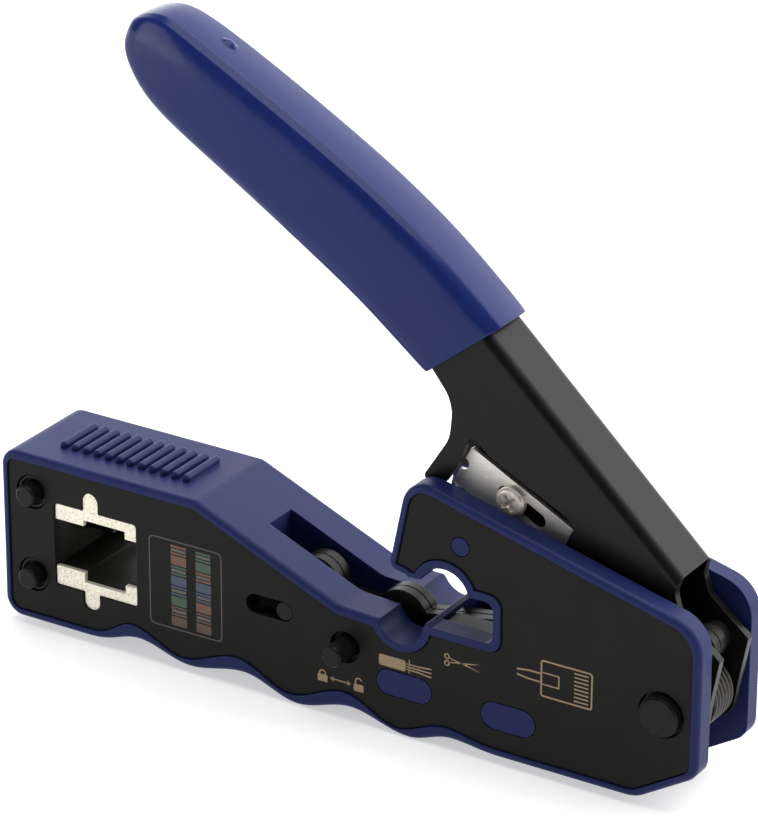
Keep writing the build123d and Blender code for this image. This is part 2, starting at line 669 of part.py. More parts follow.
def write_parts():
    """Move each part to the body frame: centred in X and Y, resting on z = 0."""
    groups = {name: shape if isinstance(shape, list) else [shape]
              for name, shape in build_parts().items()}
    box = Compound(children=[copy.copy(solid) for group in groups.values() for solid in group]).bounding_box()
    centre = box.center()
    to_body_frame = Pos(-centre.X, -centre.Y, -box.min.Z)
    print("pivot axis in the body frame: X", round(-centre.X, 3), "Y", round(-centre.Y, 3),
          "Z", round(-box.min.Z, 3))
    os.makedirs("parts", exist_ok=True)
    for name, group in groups.items():
        placed = [to_body_frame * solid for solid in group]
        whole = placed[0] if len(placed) == 1 else Compound(children=placed)
        export_step(whole, f"parts/{name}.step")


write_parts()
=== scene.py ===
import bpy
import bmesh
import json
import math
from mathutils import Matrix, Vector


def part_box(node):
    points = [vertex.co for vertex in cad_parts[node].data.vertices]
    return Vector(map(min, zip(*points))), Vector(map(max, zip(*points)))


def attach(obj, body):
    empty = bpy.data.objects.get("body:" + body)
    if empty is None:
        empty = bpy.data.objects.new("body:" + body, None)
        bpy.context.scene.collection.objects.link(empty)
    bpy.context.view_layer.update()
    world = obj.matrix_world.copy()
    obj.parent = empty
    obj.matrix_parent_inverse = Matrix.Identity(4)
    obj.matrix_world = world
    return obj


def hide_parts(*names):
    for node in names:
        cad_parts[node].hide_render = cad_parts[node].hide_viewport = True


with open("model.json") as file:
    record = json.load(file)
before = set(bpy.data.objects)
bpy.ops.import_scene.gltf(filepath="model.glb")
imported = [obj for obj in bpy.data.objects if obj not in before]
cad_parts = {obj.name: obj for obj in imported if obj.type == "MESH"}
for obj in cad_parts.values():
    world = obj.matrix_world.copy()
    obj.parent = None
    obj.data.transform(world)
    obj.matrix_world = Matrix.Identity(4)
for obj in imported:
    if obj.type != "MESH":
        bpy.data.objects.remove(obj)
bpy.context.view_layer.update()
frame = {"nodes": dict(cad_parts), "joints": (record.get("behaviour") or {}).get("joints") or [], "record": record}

# Everything below is drawn in millimetres about the pivot axis, on the body's middle plane:
# x along the body (the plug head is at -x), y towards the back side, z up.
PIVOT = Vector(next(j["pos_m"] for j in frame["joints"] if j["name"] == "lever_hinge"))
MM = 0.001
PLATE_FACE = (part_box("back_side_plate")[1].y - PIVOT.y) / MM     # outer faces of the side plates
CLOSE_ANGLE = math.radians(27.3)                                 # lever travel from open to closed


def at(x, y, z):
    """A point in millimetres about the pivot, in the frame's metres."""
    return PIVOT + Vector((x, y, z)) * MM


# ---- Node helpers ----
def spread_range(tree, output, start, end, low, high):
    """A Map Range node that turns start to end into low to high."""
    node = tree.nodes.new("ShaderNodeMapRange")
    for socket, value in (("From Min", start), ("From Max", end), ("To Min", low), ("To Max", high)):
        node.inputs[socket].default_value = value
    tree.links.new(output, node.inputs["Value"])
    return node


class Shader:
    """A material with a Principled shader and short calls for the nodes that feed it."""

    def __init__(self, name, **sockets):
        self.material = bpy.data.materials.new(name)
        self.material.use_nodes = True
        self.tree = self.material.node_tree
        self.principled = self.tree.nodes["Principled BSDF"]
        for socket, value in sockets.items():
            self.principled.inputs[socket.replace("_", " ")].default_value = value
        self.place = self.tree.nodes.new("ShaderNodeTexCoord").outputs["Object"]
        self.round = None

    def link(self, output, socket, node=None):
        self.tree.links.new(output, (node or self.principled).inputs[socket])

    def stretched(self, scale, turn=0.0):
        mapping = self.tree.nodes.new("ShaderNodeMapping")
        mapping.inputs["Scale"].default_value = scale
        mapping.inputs["Rotation"].default_value = (0, turn, 0)
        self.link(self.place, "Vector", mapping)
        return mapping.outputs["Vector"]

    def noise(self, scale, detail=3.0, rough=0.55, place=None):
        node = self.tree.nodes.new("ShaderNodeTexNoise")
        node.inputs["Scale"].default_value = scale
        node.inputs["Detail"].default_value = detail
        node.inputs["Roughness"].default_value = rough
        self.link(place or self.place, "Vector", node)
        return node.outputs["Fac"]

    def cells(self, scale, place=None):
        node = self.tree.nodes.new("ShaderNodeTexVoronoi")
        node.inputs["Scale"].default_value = scale
        self.link(place or self.place, "Vector", node)
        return node.outputs["Distance"]

    def ranged(self, output, low, high, start=0.3, end=0.7):
        return spread_range(self.tree, output, start, end, low, high).outputs["Result"]

    def ramp(self, output, *stops):
        node = self.tree.nodes.new("ShaderNodeValToRGB")
        elements = node.color_ramp.elements
        for index, (place, colour) in enumerate(stops):
            element = elements[index] if index < len(elements) else elements.new(place)
            element.position = place
            element.color = (*colour, 1)
        self.link(output, "Fac", node)
        return node.outputs["Color"]

    def total(self, first, second, share):
        """first + share * second."""
        node = self.tree.nodes.new("ShaderNodeMath")
        node.operation = "MULTIPLY_ADD"
        self.link(second, 0, node)
        node.inputs[1].default_value = share
        self.link(first, 2, node)
        return node.outputs[0]

    def painted_edge_highlight(self, radius, low, high):
        """Painted highlight: brighter where a wide and a narrow shading normal differ, along convex edges."""
        bevel = self.tree.nodes.new("ShaderNodeBevel")
        bevel.inputs["Radius"].default_value = radius
        geometry = self.tree.nodes.new("ShaderNodeNewGeometry")
        dot = self.tree.nodes.new("ShaderNodeVectorMath")
        dot.operation = "DOT_PRODUCT"
        self.link(bevel.outputs["Normal"], 0, dot)
        self.link(geometry.outputs["Normal"], 1, dot)
        return self.ranged(dot.outputs["Value"], high, low, 0.86, 0.995)

    def broken_edges(self, radius):
        """Shade sharp edges as if they were rounded to the radius; used under the bump."""
        bevel = self.tree.nodes.new("ShaderNodeBevel")
        bevel.samples = 6
        bevel.inputs["Radius"].default_value = radius
        self.round = bevel.outputs["Normal"]
        return self

    def bump(self, output, distance, strength=1.0):
        node = self.tree.nodes.new("ShaderNodeBump")
        if self.round:
            self.link(self.round, "Normal", node)
        node.inputs["Distance"].default_value = distance
        node.inputs["Strength"].default_value = strength
        self.link(output, "Height", node)
        self.link(node.outputs["Normal"], "Normal")
        return self


def moulded_plastic():
    """Violet-navy moulding: fine spark-eroded grain, slight clouding, semi-matt."""
    shader = Shader("housing_plastic", IOR=1.5, Specular_IOR_Level=0.10)
    cloud = shader.noise(90, 4)
    shader.link(shader.ramp(cloud, (0.3, (0.0095, 0.0145, 0.066)), (0.7, (0.0115, 0.0175, 0.080))),
                "Base Color")
    grain = shader.noise(5200, 2, 0.6)
    shader.link(shader.ranged(shader.total(cloud, grain, 0.6), 0.36, 0.50, 0.5, 1.1), "Roughness")
    shader.broken_edges(0.00022)
    return shader.bump(shader.total(grain, shader.cells(3400), 0.5), 0.000035, 0.5).material


def dipped_vinyl():
    """Royal-blue dipped vinyl: glossy, with a slow orange-peel ripple and faint smears."""
    shader = Shader("grip_vinyl", IOR=1.5, Specular_IOR_Level=0.15)
    cloud = shader.noise(60, 4)
    shader.link(shader.ramp(cloud, (0.3, (0.007, 0.014, 0.088)), (0.7, (0.009, 0.018, 0.105))), "Base Color")
    smear = shader.noise(700, 5, 0.65)
    shader.link(shader.ranged(smear, 0.15, 0.24), "Roughness")
    ripple = shader.noise(260, 2, 0.4)
    return shader.bump(shader.total(ripple, shader.noise(2600, 2), 0.08), 0.00016, 0.35).material


def blackened_steel(name, tone, gloss, rough_low, rough_high):
    """Black-oxide sheet: warm near-black, fine grain, with a painted highlight that makes the edges slightly
    brighter.
    """
    shader = Shader(name, Metallic=0.1, IOR=1.5, Specular_IOR_Level=gloss)
    cloud = shader.noise(140, 5, 0.6)
    # painted highlight: convex edges lighter in the base colour
    edge_highlight = shader.painted_edge_highlight(0.0004, 0.0, 1.0)
    mix = shader.total(shader.ranged(cloud, 0.0, 0.35), edge_highlight, 0.65)
    dark = tuple(tone * share for share in (0.80, 0.76, 0.70))
    mid = tuple(tone * share for share in (1.15, 1.08, 1.0))
    bright = tuple(tone * share for share in (2.6, 2.4, 2.2))
    shader.link(shader.ramp(mix, (0.0, dark), (0.35, mid), (1.0, bright)), "Base Color")
    grain = shader.noise(4200, 3, 0.65)
    shader.link(shader.ranged(shader.total(cloud, grain, 0.5), rough_low, rough_high, 0.45, 1.05),
                "Roughness")
    shader.broken_edges(0.00020)
    return shader.bump(grain, 0.00002, 0.45).material


def grained_nickel():
    """Bright gauge plate: pale metal with a stamped, speckled surface."""
    shader = Shader("die_steel", Metallic=0.55, IOR=1.9)
    speckle = shader.noise(2300, 4, 0.75)
    shader.link(shader.ramp(speckle, (0.30, (0.34, 0.32, 0.24)), (0.46, (0.70, 0.67, 0.54)),
                            (0.8, (0.86, 0.84, 0.72))), "Base Color")
    shader.link(shader.ranged(speckle, 0.62, 0.38), "Roughness")
    return shader.bump(speckle, 0.00006, 0.6).material


def ground_steel(name, turn, base=(0.66, 0.64, 0.60)):
    """Ground blade steel with fine scratches along its length."""
    shader = Shader(name, Metallic=0.45, Specular_IOR_Level=0.8)
    lines = shader.noise(1.0, 6, 0.7, shader.stretched((260, 900, 7000), turn))
    bright = tuple(share * 1.45 for share in base)
    shader.link(shader.ramp(lines, (0.3, base), (0.7, bright)), "Base Color")
    stain = shader.noise(420, 4)
    shader.link(shader.ranged(shader.total(lines, stain, 0.6), 0.32, 0.50, 0.5, 1.1), "Roughness")
    return shader.bump(lines, 0.00001, 0.5).material


def nickel_plate():
    """Warm bright nickel with light handling marks."""
    shader = Shader("nickel_screw", Metallic=0.55, Specular_IOR_Level=0.8)
    mark = shader.noise(1500, 5, 0.7)
    shader.link(shader.ramp(mark, (0.35, (0.60, 0.55, 0.47)), (0.65, (0.78, 0.74, 0.66))), "Base Color")
    shader.link(shader.ranged(mark, 0.34, 0.50), "Roughness")
    return shader.bump(mark, 0.00001, 0.5).material


def phosphated_block_and_painted_shade():
    """Matt olive-black block with a cast, slightly mottled surface; the same material also gives the painted shade
    of the dark linings in the front plate's holes.
    """
    shader = Shader("dark_nest", Metallic=0.2, IOR=1.5, Specular_IOR_Level=0.2)
    mottle = shader.noise(900, 5, 0.7)
    shader.link(shader.ramp(mottle, (0.3, (0.006, 0.0065, 0.004)), (0.7, (0.013, 0.014, 0.009))),
                "Base Color")
    shader.link(shader.ranged(mottle, 0.40, 0.60), "Roughness")
    return shader.bump(mottle, 0.00004, 0.5).material


def oiled_steel(name, base, metal):
    """Dark drawn or turned steel under a film of oil."""
    shader = Shader(name, Metallic=metal, Specular_IOR_Level=0.12)
    streak = shader.noise(1.0, 4, 0.6, shader.stretched((900, 4000, 900)))
    bright = tuple(share * 1.7 for share in base)
    shader.link(shader.ramp(streak, (0.3, base), (0.7, bright)), "Base Color")
    shader.link(shader.ranged(streak, 0.26, 0.44), "Roughness")
    return shader.bump(streak, 0.000015, 0.5).material


def screen_ink(name, colour, wear=0.30):
    """Pad-printed ink, thin and a little patchy."""
    shader = Shader(name, IOR=1.45)
    patch = shader.noise(2600, 4, 0.7)
    thin = tuple(share * (1 - wear) for share in colour)
    shader.link(shader.ramp(patch, (0.3, thin), (0.65, colour)), "Base Color")
    shader.link(shader.ranged(patch, 0.45, 0.65), "Roughness")
    return shader.bump(patch, 0.00001, 0.4).material


def studio_floor():
    """Pale lit table top with a barely visible tooth."""
    shader = Shader("studio_floor", Roughness=0.6, Specular_IOR_Level=0.15, Emission_Color=(1, 1, 1, 1),
                    Emission_Strength=0.5)
    tooth = shader.noise(220, 3)
    shader.link(shader.ramp(tooth, (0.3, (0.56, 0.56, 0.56)), (0.7, (0.58, 0.58, 0.58))), "Base Color")
    return shader.material


MATERIALS = {
    "housing_plastic": moulded_plastic(),
    "grip_vinyl": dipped_vinyl(),
    "black_plate": blackened_steel("black_plate", 0.0075, 0.10, 0.34, 0.48),
    "black_lever": blackened_steel("black_lever", 0.005, 0.14, 0.26, 0.38),
    "die_steel": grained_nickel(),
    "blade_steel": ground_steel("blade_steel", CLOSE_ANGLE),
    "nickel_screw": nickel_plate(),
    "dark_nest": phosphated_block_and_painted_shade(),
    "spring_steel": oiled_steel("spring_steel", (0.030, 0.028, 0.026), 0.85),
    "dark_steel": oiled_steel("dark_steel", (0.008, 0.0075, 0.007), 0.3),
}
INKS = {
    "bronze": screen_ink("ink_bronze", (0.27, 0.195, 0.105)),
    "grey": screen_ink("ink_grey", (0.060, 0.058, 0.056)),
    "white": screen_ink("ink_white", (0.085, 0.083, 0.078)),
    "orange": screen_ink("ink_orange", (0.13, 0.055, 0.033)),
    "green": screen_ink("ink_green", (0.032, 0.068, 0.040)),
    "blue": screen_ink("ink_blue", (0.040, 0.052, 0.095)),
    "brown": screen_ink("ink_brown", (0.070, 0.040, 0.030)),
}
SLOT_OF = {part["node"]: part["material_slot"] for part in frame["record"]["subparts"]}
BODY_OF = {node: body for body, nodes in frame["record"]["behaviour"]["bodies"].items() for node in nodes}


def dress(obj, material):
    obj.data.materials.clear()
    obj.data.materials.append(material)


def as_object(name, bm, material, body):
    """Turn a bmesh into a dressed piece that rides on a body."""
    mesh = bpy.data.meshes.new(name)
    bm.normal_update()
    bm.to_mesh(mesh)
    bm.free()
    obj = bpy.data.objects.new(name, mesh)
    bpy.context.scene.collection.objects.link(obj)
    dress(obj, material)
    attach(obj, body)
    return obj


def shade(obj, degrees=35):
    """Smooth shading, sharp where faces meet at more than the angle."""
    obj.data.shade_smooth()
    obj.data.set_sharp_from_angle(angle=math.radians(degrees))


# ---- CAD parts with softened edges ----
def clean_copy(node):
    """The part's own surface with its flat areas joined into single faces."""
    bm = bmesh.new()
    bm.from_mesh(frame["nodes"][node].data)
    bmesh.ops.remove_doubles(bm, verts=bm.verts, dist=2e-6)
    bmesh.ops.dissolve_limit(bm, angle_limit=math.radians(0.6), verts=bm.verts, edges=bm.edges,
                             delimit={"NORMAL"})
    return bm


def softened(node, width):
    """A piece that stands for a CAD part, with its sharp edges rounded."""
    bm = clean_copy(node)
    piece = as_object(node + "_finish", bm, MATERIALS[SLOT_OF[node]], BODY_OF[node])
    if "custom_normal" in piece.data.attributes:
        piece.data.attributes.remove(piece.data.attributes["custom_normal"])
    piece.data.shade_smooth()
    bevel = piece.modifiers.new("edges", "BEVEL")
    bevel.limit_method = "ANGLE"
    bevel.angle_limit = math.radians(32)
    bevel.width = width * MM
    bevel.segments = 2
    bevel.use_clamp_overlap = False
    bevel.harden_normals = True
    normals = piece.modifiers.new("normals", "WEIGHTED_NORMAL")
    normals.keep_sharp = True
    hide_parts(node)
    return piece


SOFTENED = {            # how far each part's edges are cut back, in millimetres
    "front_side_plate": 0.14,
    "back_side_plate": 0.14,
    "upper_die_plate": 0.08,
    "lower_die_plate": 0.08,
    "head_rivets": 0.15,
    "lock_bolt": 0.14,
    "cutting_blade": 0.05,
    "blade_carrier": 0.06,
    "plug_nest": 0.05,
    "link_plate_front": 0.14,
    "link_plate_back": 0.14,
    "guide_pin": 0.15,
    "guide_plates": 0.14,
    "crank_pin": 0.18,
    "cutting_anvil": 0.12,
    "ram_head": 0.15,
    "ram_plate_front": 0.08,
    "ram_plate_back": 0.08,
    "wire_trim_blade": 0.05,
}


# ---- Grip ----
# Down the handle from its open end to the tip: a point on the back, the point across from it on
# the front, and half of the grip's width there
GRIP_STATIONS = [
    ((-33.8, 55.9), (-47.2, 45.4), 6.35),
    ((-35.0, 57.1), (-48.3, 46.3), 6.5),
    ((-41.0, 62.5), (-53.4, 50.3), 6.5),
    ((-48.0, 68.3), (-59.4, 55.0), 6.5),
    ((-57.5, 74.8), (-67.5, 60.3), 6.5),
    ((-67.2, 80.5), (-76.0, 65.7), 6.5),
    ((-76.8, 85.8), (-84.8, 71.2), 6.5),
    ((-86.4, 90.9), (-93.2, 76.2), 6.45),
    ((-91.4, 93.4), (-98.0, 79.3), 6.2),
    ((-95.2, 95.1), (-101.2, 82.0), 5.8),
    ((-98.4, 95.7), (-103.3, 84.9), 5.3),
    ((-101.4, 95.0), (-104.8, 87.6), 4.6),
    ((-103.7, 93.8), (-105.3, 89.9), 3.3),
]
GRIP_SECTION = [        # width as a share of the half width; millimetres from the back or the front
    (0.00, "back", -0.45), (0.32, "back", -0.38), (0.62, "back", -0.15), (0.82, "back", 0.70),
    (0.93, "back", 2.00), (1.00, "back", 5.40), (1.00, "middle", 0.0), (1.00, "front", 3.8),
    (0.94, "front", 1.5), (0.74, "front", 0.25), (0.40, "front", 0.0), (0.00, "front", 0.0)]
RIDGE, SHOULDER = 2, 3          # the points of the section whose edges stay crisp down the grip
FULL_DEPTH = 15.0               # back to front; a thinner section has smaller rounds
MOUTH_INSETS = (0.95, 0.75)     # the hollow mouth's inner rim and its rounded lip
HOLLOW_INSET = 1.0              # inside the mouth, where the sleeve meets the lever
GRIP_END = (-105.2, 0, 92.1)


def grip_ring(bm, back, front, half, inset=0.0):
    """One closed cross-section, from the back's middle round the rear side and the front."""
    depth = math.hypot(back[0] - front[0], back[1] - front[1])
    across = ((back[0] - front[0]) / depth, (back[1] - front[1]) / depth)
    shrink = min(1.0, depth / FULL_DEPTH)
    profile = []
    for share, side, distance in GRIP_SECTION:
        rise = {"back": depth - distance * shrink, "middle": depth / 2, "front": distance * shrink}[side]
        rise = depth / 2 + (rise - depth / 2) * (1 - 2 * inset / depth)
        profile.append((share * (half - inset), rise))
    loop = profile + [(-width, rise) for width, rise in profile[-2:0:-1]]
    return [bm.verts.new(at(front[0] + across[0] * rise, width, front[1] + across[1] * rise))
            for width, rise in loop]


def bridge(bm, first, second):
    count = len(first)
    return [bm.faces.new((first[i], first[(i + 1) % count], second[(i + 1) % count], second[i]))
            for i in range(count)]


def make_grip():
    """Dipped sleeve: slightly crowned back, wide shoulders, soft front, rounded tip, open mouth."""
    bm = bmesh.new()
    crease = bm.edges.layers.float.new("crease_edge")
    inner_back, inner_front, _ = GRIP_STATIONS[2]
    mouth_back, mouth_front, mouth_half = GRIP_STATIONS[0]
    rings = [grip_ring(bm, inner_back, inner_front, mouth_half, HOLLOW_INSET)]
    rings += [grip_ring(bm, mouth_back, mouth_front, mouth_half, inset) for inset in MOUTH_INSETS]
    outside = len(rings)
    rings += [grip_ring(bm, *station) for station in GRIP_STATIONS]
    for first, second in zip(rings, rings[1:]):
        bridge(bm, first, second)
    last = rings[-1]
    count = len(last)
    end = at(*GRIP_END)
    tip = [bm.verts.new(vert.co.lerp(end, 0.5)) for vert in last]
    bridge(bm, last, tip)
    half = count // 2
    for index in range(half):
        low, next_low = tip[index], tip[index + 1]
        high, next_high = tip[-index], tip[-index - 1]
        bm.faces.new(list(dict.fromkeys((low, next_low, next_high, high))))
    for order, (first, second) in enumerate(zip(rings[outside:], rings[outside + 1:])):
        crisp = min(1.0, order / 5)
        for spot, strength in ((RIDGE, 0.45 + 0.30 * crisp), (SHOULDER, 0.10 + 0.60 * crisp)):
            for place in (spot, (count - spot) % count):
                bm.edges.get((first[place], second[place]))[crease] = strength
    for ring in rings[1:outside + 1]:
        for index in range(count):
            edge = bm.edges.get((ring[index], ring[(index + 1) % count]))
            edge[crease] = 0.35
    bmesh.ops.recalc_face_normals(bm, faces=bm.faces)
    grip = as_object("grip_sleeve", bm, MATERIALS["grip_vinyl"], "lever")
    grip.data.shade_smooth()
    smooth = grip.modifiers.new("round", "SUBSURF")
    smooth.levels = smooth.render_levels = 3
    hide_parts("lever_grip")


# ---- Blade screw ----
SCREW_PLACE = (-40.0, 9.4)      # with the lever closed
SCREW_FACE, SCREW_SEAT, SCREW_END = -5.0, -3.5, 1.9     # y of the head's top, its underside, the tip
SCREW_HEAD_RADIUS, SCREW_SHANK_RADIUS = 2.6, 1.2
SCREW_RECESS = 0.75             # depth of the cross recess
SCREW_RECESS_TURN = math.radians(31)


def smooth_step(low, high, value):
    share = min(1.0, max(0.0, (value - low) / (high - low)))
    return share * share * (3 - 2 * share)


def screw_height(radius, angle):
    """Height of the screw's face below its top: rounded rim and a tapering cross recess."""
    rim = 0.5 * smooth_step(SCREW_HEAD_RADIUS - 0.7, SCREW_HEAD_RADIUS, radius) ** 1.5
    across = min(abs(math.sin(angle)), abs(math.cos(angle))) * radius
    slot = (1 - smooth_step(0.20, 0.42, across)) * (1 - smooth_step(1.15, 1.55, radius))
    heart = 1 - smooth_step(0.35, 0.85, radius)
    return rim + SCREW_RECESS * max(slot, heart)


def make_blade_screw():
    """Pan-headed cross-recess screw that clamps the blade."""
    rings, spokes = 30, 96
    centre_x = SCREW_PLACE[0] * math.cos(CLOSE_ANGLE) + SCREW_PLACE[1] * math.sin(CLOSE_ANGLE)
    centre_z = SCREW_PLACE[1] * math.cos(CLOSE_ANGLE) - SCREW_PLACE[0] * math.sin(CLOSE_ANGLE)
    bm = bmesh.new()
    turn = SCREW_RECESS_TURN
    loops = []
    for ring in range(1, rings + 1):
        radius = SCREW_HEAD_RADIUS * ring / rings
        loops.append([bm.verts.new(at(centre_x + radius * math.cos(turn + spoke),
                                      SCREW_FACE + screw_height(radius, spoke),
                                      centre_z + radius * math.sin(turn + spoke)))
                      for spoke in (2 * math.pi * step / spokes for step in range(spokes))])
    for radius, y in ((SCREW_HEAD_RADIUS, SCREW_SEAT), (SCREW_SHANK_RADIUS, SCREW_SEAT),
                      (SCREW_SHANK_RADIUS, SCREW_END)):
        loops.append([bm.verts.new(at(centre_x + radius * math.cos(spoke), y,
                                      centre_z + radius * math.sin(spoke)))
                      for spoke in (turn + 2 * math.pi * step / spokes for step in range(spokes))])
    middle = bm.verts.new(at(centre_x, SCREW_FACE + SCREW_RECESS, centre_z))
    for step in range(spokes):
        bm.faces.new((middle, loops[0][step], loops[0][(step + 1) % spokes]))
    for first, second in zip(loops, loops[1:]):
        bridge(bm, first, second)
    bm.faces.new(loops[-1])
    bmesh.ops.recalc_face_normals(bm, faces=bm.faces)
    screw = as_object("blade_screw_finish", bm, MATERIALS["nickel_screw"], "lever")
    shade(screw, 40)
    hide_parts("blade_screw")


# ---- Painted shade: dark linings seen through the front plate ----
LOCK_PLACE = (-58.6, -4.2)
# painted shade: a dark ring that darkens the lock bolt's well
LOCK_SHADE_RADII = (2.05, 3.55)
LOCK_SHADE_FRONT, LOCK_SHADE_BACK = -8.6, -7.85
SLOT_ENDS = (-77.9 + 1.75, -68.7 - 1.75)        # centres of the slot's two round ends
SLOT_Z = -0.9
# painted shade: a dark lining that darkens the guide pin's slot
SLOT_SHADE_OUTER, SLOT_SHADE_INNER = 2.60, 2.35
SLOT_SHADE_FRONT, SLOT_SHADE_BACK = -8.6, -3.6


def painted_shade_ring(name, centre, radii, front, back, spokes=48):
    """A flat dark ring with broken edges, lying across the front-to-back direction; painted shade for a hole's
    well.
    """
    inner, outer = radii
    edge = 0.12
    profile = [(inner, back), (inner, front + edge), (inner + edge, front), (outer - edge, front),
               (outer, front + edge), (outer, back)]
    bm = bmesh.new()
    loops = [[bm.verts.new(at(centre[0] + radius * math.cos(turn), y, centre[1] + radius * math.sin(turn)))
              for turn in (2 * math.pi * step / spokes for step in range(spokes))]
             for radius, y in profile]
    for first, second in zip(loops, loops[1:] + loops[:1]):
        bridge(bm, first, second)
    bmesh.ops.recalc_face_normals(bm, faces=bm.faces)
    shade(as_object(name, bm, MATERIALS["dark_nest"], "root"))


def painted_shade_slot_lining():
    """Painted shade: a thin dark lining in the guide pin's slot through the front wall, darkening the slot's
    inside.
    """
    bm = bmesh.new()
    loops = []
    for radius, y in ((SLOT_SHADE_OUTER, SLOT_SHADE_FRONT), (SLOT_SHADE_OUTER, SLOT_SHADE_BACK),
                      (SLOT_SHADE_INNER, SLOT_SHADE_BACK), (SLOT_SHADE_INNER, SLOT_SHADE_FRONT)):
        path = (arc((SLOT_ENDS[1], SLOT_Z), radius, -90, 90, 16)
                + arc((SLOT_ENDS[0], SLOT_Z), radius, 90, 270, 16))
        loops.append([bm.verts.new(at(x, y, z)) for x, z in path])
    for first, second in zip(loops, loops[1:] + loops[:1]):
        bridge(bm, first, second)
    bmesh.ops.recalc_face_normals(bm, faces=bm.faces)
    shade(as_object("guide_slot_painted_shade", bm, MATERIALS["dark_nest"], "root"))


BEAD_PLACE = Vector((-86.9, 0.3, 91.65))
BEAD_ALONG, BEAD_UP = Vector((-0.88, 0, 0.475)), Vector((0.475, 0, 0.88))     # along and off the back
BEAD_HALF_LENGTH, BEAD_HALF_WIDTH, BEAD_HEIGHT = 2.0, 1.5, 0.62
BEAD_SINK = 0.16                # how far its rim sits below its foot, inside the grip


def make_drip():
    """The small bead that the dipping left on the back of the grip near its tip."""
    rings, spokes = 8, 28
    bm = bmesh.new()
    loops = []
    for step in range(1, rings + 1):
        share = step / rings
        rise = BEAD_HEIGHT * (1 - share * share) ** 2 - BEAD_SINK * share
        ring = []
        for spoke in range(spokes):
            turn = 2 * math.pi * spoke / spokes
            spot = (BEAD_PLACE + BEAD_ALONG * BEAD_HALF_LENGTH * share * math.cos(turn)
                    + Vector((0, BEAD_HALF_WIDTH * share * math.sin(turn), 0)) + BEAD_UP * rise)
            ring.append(bm.verts.new(at(*spot)))
        loops.append(ring)
    top = bm.verts.new(at(*(BEAD_PLACE + BEAD_UP * BEAD_HEIGHT)))
    for spoke in range(spokes):
        bm.faces.new((top, loops[0][spoke], loops[0][(spoke + 1) % spokes]))
    for first, second in zip(loops, loops[1:]):
        bridge(bm, first, second)
    bm.faces.new(loops[-1])
    bmesh.ops.recalc_face_normals(bm, faces=bm.faces)
    bead = as_object("grip_bead", bm, MATERIALS["grip_vinyl"], "lever")
    shade(bead, 60)


# ---- Printing on the front plate ----
INK_Y = -PLATE_FACE - 0.012     # the ink stands just proud of the front plate


def ink_polygon(bm, points):
    """A flat patch of ink that faces the front."""
    face = bm.faces.new([bm.verts.new(at(x, INK_Y, z)) for x, z in points])
    face.normal_update()
    if face.normal.y > 0:
        face.normal_flip()


def ink_line(bm, points, width, closed=False):
    """A printed line through the points, mitred at its corners."""
    count = len(points)
    spans = range(count if closed else count - 1)
    normals = []
    for index in spans:
        (x1, z1), (x2, z2) = points[index], points[(index + 1) % count]
        length = math.hypot(x2 - x1, z2 - z1)
        normals.append(Vector((z1 - z2, x2 - x1)) / length)
    sides = []
    for index, (x, z) in enumerate(points):
        before = normals[index - 1] if closed or index else normals[0]
        after = normals[index] if closed or index < count - 1 else normals[-1]
        mitre = (before + after) / (1 + before.dot(after))
        offset = mitre * width / 2
        sides.append(((x + offset.x, z + offset.y), (x - offset.x, z - offset.y)))
    for index in spans:
        (left, right), (next_left, next_right) = sides[index], sides[(index + 1) % count]
        ink_polygon(bm, [left, next_left, next_right, right])


def arc(centre, radius, start, end, steps=14):
    turns = [math.radians(start + (end - start) * step / steps) for step in range(steps + 1)]
    return [(centre[0] + radius * math.cos(turn), centre[1] + radius * math.sin(turn)) for turn in turns]


def ink_ring(bm, centre, radius, width):
    ink_line(bm, arc(centre, radius, 0, 360, 28)[:-1], width, closed=True)


def rounded_box(left, right, low, high, corner):
    """Outline of a rectangle with rounded corners."""
    return (arc((right - corner, high - corner), corner, 0, 90, 5)
            + arc((left + corner, high - corner), corner, 90, 180, 5)
            + arc((left + corner, low + corner), corner, 180, 270, 5)
            + arc((right - corner, low + corner), corner, 270, 360, 5))


def padlock(bm, x, low, is_open):
    """Padlock sign 1.9 mm wide; the open one has its shackle swung up."""
    ink_polygon(bm, rounded_box(x - 0.95, x + 0.95, low, low + 1.35, 0.2))
    lift = 0.35 if is_open else 0.0
    shackle = arc((x, low + 1.5 + lift), 0.58, 0 if not is_open else 20, 180)
    ink_line(bm, [(x + 0.58, low + 1.3)] * (not is_open) + shackle + [(x - 0.58, low + 1.3)], 0.26)


def printed(name, ink, draw):
    """A printed piece in one ink, drawn by the function."""
    bm = bmesh.new()
    draw(bm)
    as_object(name, bm, INKS[ink], "root")


def draw_lock_signs(bm):
    """A closed and an open padlock joined by a double-headed arrow."""
    padlock(bm, -62.9, -11.6, False)
    padlock(bm, -55.9, -11.6, True)
    ink_line(bm, [(-61.0, -10.6), (-57.8, -10.6)], 0.24)
    ink_polygon(bm, [(-61.5, -10.6), (-60.7, -10.15), (-60.7, -11.05)])
    ink_polygon(bm, [(-57.3, -10.6), (-58.1, -10.15), (-58.1, -11.05)])


def draw_strip_sign(bm):
    """A cable whose jacket is cut back from three cores."""
    ink_polygon(bm, rounded_box(-52.0, -46.9, -5.4, -3.4, 0.35))
    for z in (-3.9, -4.4, -4.9):
        ink_line(bm, [(-46.7, z), (-44.6, z), (-42.0, z + (z + 4.4) * 0.5)], 0.26)
    ink_line(bm, [(-46.2, -3.0), (-46.2, -5.5)], 0.2)


def draw_cut_sign(bm):
    """Scissors: two finger rings and two crossed blades."""
    for side in (1, -1):
        ink_ring(bm, (-39.1, -1.0 + side * 0.62), 0.42, 0.22)
        ink_polygon(bm, [(-38.7, -1.0 + side * 0.45), (-38.5, -1.0 + side * 0.25),
                         (-32.7, -1.0 - side * 0.75), (-35.4, -1.0 - side * 0.02)])


